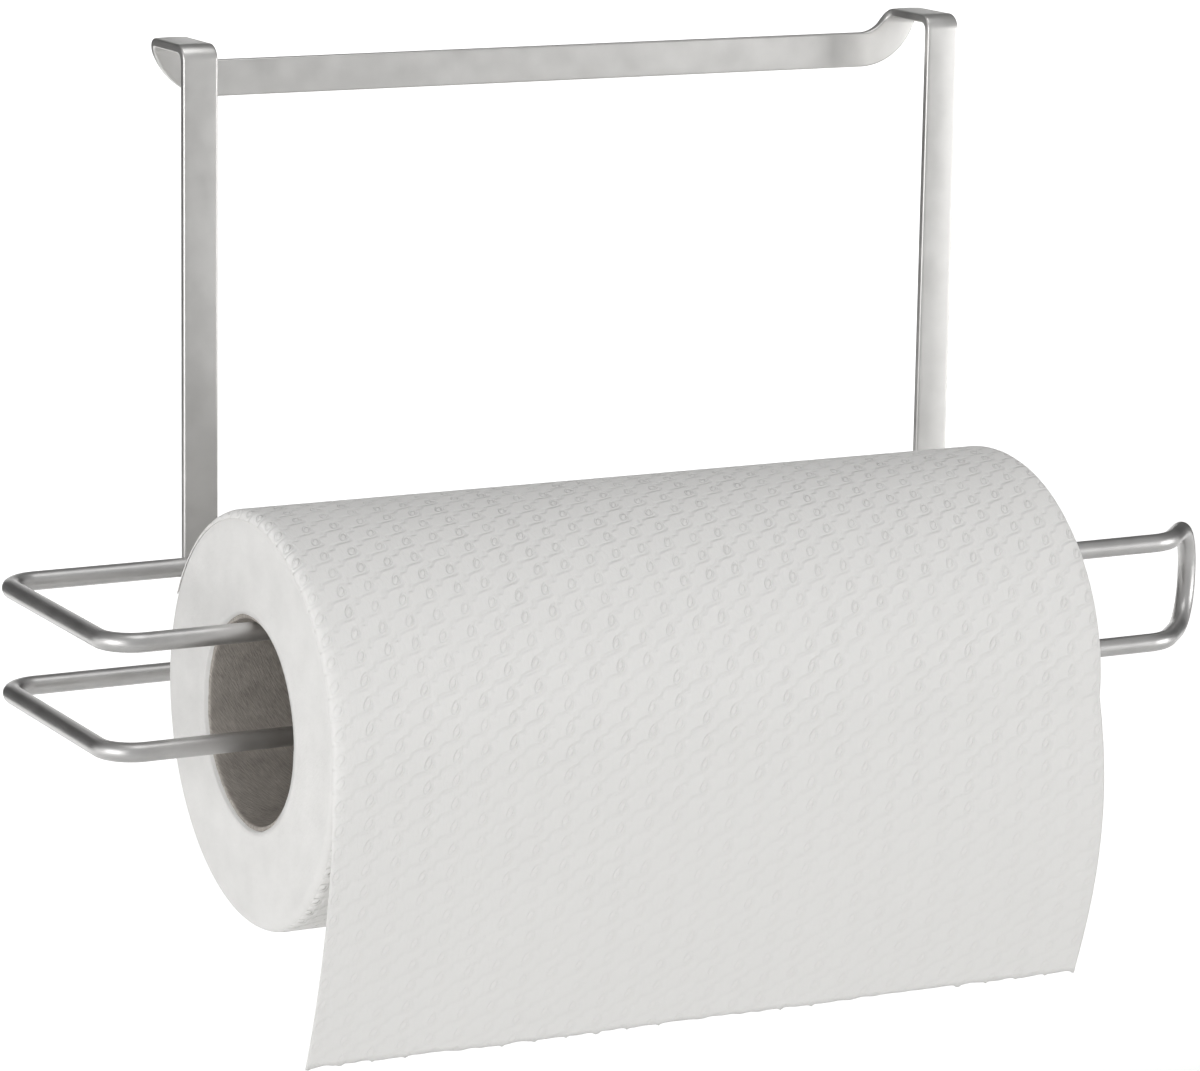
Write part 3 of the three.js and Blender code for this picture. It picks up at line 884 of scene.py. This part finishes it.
bm = bmesh.new()
bmesh.ops.create_grid(bm, x_segments=1, y_segments=1, size=1)
bmesh.ops.scale(bm, vec=(FLOOR_HALF_WIDTH, FLOOR_HALF_DEPTH, 1), verts=bm.verts)
bmesh.ops.translate(bm, vec=(0, FLOOR_BACK_Y - FLOOR_HALF_DEPTH, FLOOR_Z), verts=bm.verts)
back_edge = [e for e in bm.edges if all(v.co.y > 0 for v in e.verts)]
cove = bmesh.ops.spin(
    bm, geom=back_edge + list({v for e in back_edge for v in e.verts}),
    cent=(0, FLOOR_BACK_Y, FLOOR_Z + COVE_RADIUS), axis=(1, 0, 0), angle=math.pi / 2, steps=24,
    use_merge=False, use_duplicate=False,
)["geom_last"]
top_edge = [g for g in cove if isinstance(g, bmesh.types.BMEdge)]
wall = bmesh.ops.extrude_edge_only(bm, edges=top_edge)["geom"]
wall_top = [g for g in wall if isinstance(g, bmesh.types.BMVert)]
bmesh.ops.translate(bm, vec=(0, 0, WALL_HEIGHT), verts=wall_top)
bmesh.ops.recalc_face_normals(bm, faces=bm.faces)
sweep_mesh = bpy.data.meshes.new("white_sweep")
bm.to_mesh(sweep_mesh)
bm.free()
sweep_mesh.polygons.foreach_set("use_smooth", [True] * len(sweep_mesh.polygons))
white_sweep = bpy.data.objects.new("white_sweep", sweep_mesh)
bpy.context.scene.collection.objects.link(white_sweep)

matt_white = bpy.data.materials.new("matt_white_paint")
matt_white.use_nodes = True
tree = matt_white.node_tree
shader = tree.nodes["Principled BSDF"]
shader.inputs["Base Color"].default_value = linear("#F4F4F3")
shader.inputs["Roughness"].default_value = 1.0
shader.inputs["Emission Color"].default_value = (1, 1, 1, 1)
# the sweep glows behind the holder, and only a little below and in front of it
place = add_node(tree, "ShaderNodeTexCoord").outputs["Object"]
along = add_node(tree, "ShaderNodeSeparateXYZ", {"Vector": place}).outputs["Y"]
glow = add_node(
    tree, "ShaderNodeMapRange",
    {"Value": along, "From Min": -0.1, "From Max": 0.5, "To Min": 0.12, "To Max": 0.8},
    interpolation_type="SMOOTHSTEP",
)
tree.links.new(glow.outputs[0], shader.inputs["Emission Strength"])
sweep_mesh.materials.append(matt_white)

# the room is bright in front and to the left, where the diffusers hang, and
# falls off behind and above the holder
DIFFUSERS_TOWARD = Vector((-0.30, -0.93, -0.20)).normalized()
room = bpy.data.worlds.new("soft_room")
room.use_nodes = True
tree = room.node_tree
direction = add_node(tree, "ShaderNodeTexCoord").outputs["Generated"]
facing = add_node(
    tree, "ShaderNodeVectorMath", {0: direction, 1: DIFFUSERS_TOWARD}, operation="DOT_PRODUCT"
).outputs["Value"]
brightness = add_node(
    tree, "ShaderNodeMapRange",
    {"Value": facing, "From Min": -0.6, "From Max": 0.6, "To Min": 0.18, "To Max": 0.52},
    interpolation_type="SMOOTHSTEP",
).outputs[0]
tree.links.new(brightness, tree.nodes["Background"].inputs["Strength"])
tree.nodes["Background"].inputs["Color"].default_value = (1, 1, 1, 1)
bpy.context.scene.world = room
bpy.context.scene.view_settings.view_transform = "Standard"

HOLDER_MIDDLE = (0, 0, -0.12)


def softbox(name, at, width, tall, watts):
    """A rectangular area light aimed at the holder, which the camera doesn't see."""
    light = bpy.data.lights.new(name, "AREA")
    light.shape = "RECTANGLE"
    light.size, light.size_y = width, tall
    light.energy = watts
    lamp = bpy.data.objects.new(name, light)
    lamp.location = at
    direction = Vector(HOLDER_MIDDLE) - Vector(at)
    lamp.rotation_euler = direction.to_track_quat("-Z", "Y").to_euler()
    lamp.visible_camera = False
    bpy.context.scene.collection.objects.link(lamp)


# two black flags, behind the holder to its left and right, draw the dark lines
# along the strip's narrow sides; they hide from the camera, as the lamps do
black_cloth = bpy.data.materials.new("black_flag_cloth")
black_cloth.use_nodes = True
shader = black_cloth.node_tree.nodes["Principled BSDF"]
shader.inputs["Base Color"].default_value = linear("#1C1C1C")
shader.inputs["Roughness"].default_value = 1.0
for name, at, turn in [("left_flag", (-0.5, 0.8, 0.1), 28), ("right_flag", (1.1, 0.6, 0.1), -60)]:
    bm = bmesh.new()
    bmesh.ops.create_grid(bm, x_segments=1, y_segments=1, size=0.5)
    upright = Matrix.Rotation(math.radians(turn), 4, "Z") @ Matrix.Rotation(math.pi / 2, 4, "X")
    bmesh.ops.transform(bm, matrix=Matrix.Translation(at) @ upright, verts=bm.verts)
    flag_mesh = bpy.data.meshes.new(name)
    bm.to_mesh(flag_mesh)
    bm.free()
    flag_mesh.materials.append(black_cloth)
    flag = bpy.data.objects.new(name, flag_mesh)
    flag.visible_camera = False
    bpy.context.scene.collection.objects.link(flag)

softbox("key_softbox", (1.7, -1.1, -0.15), 1.1, 1.1, 14)
softbox("left_softbox", (-1.8, -0.7, 0.1), 1.4, 1.1, 14)
softbox("top_softbox", (0.1, -0.4, 1.5), 0.9, 0.9, 5)
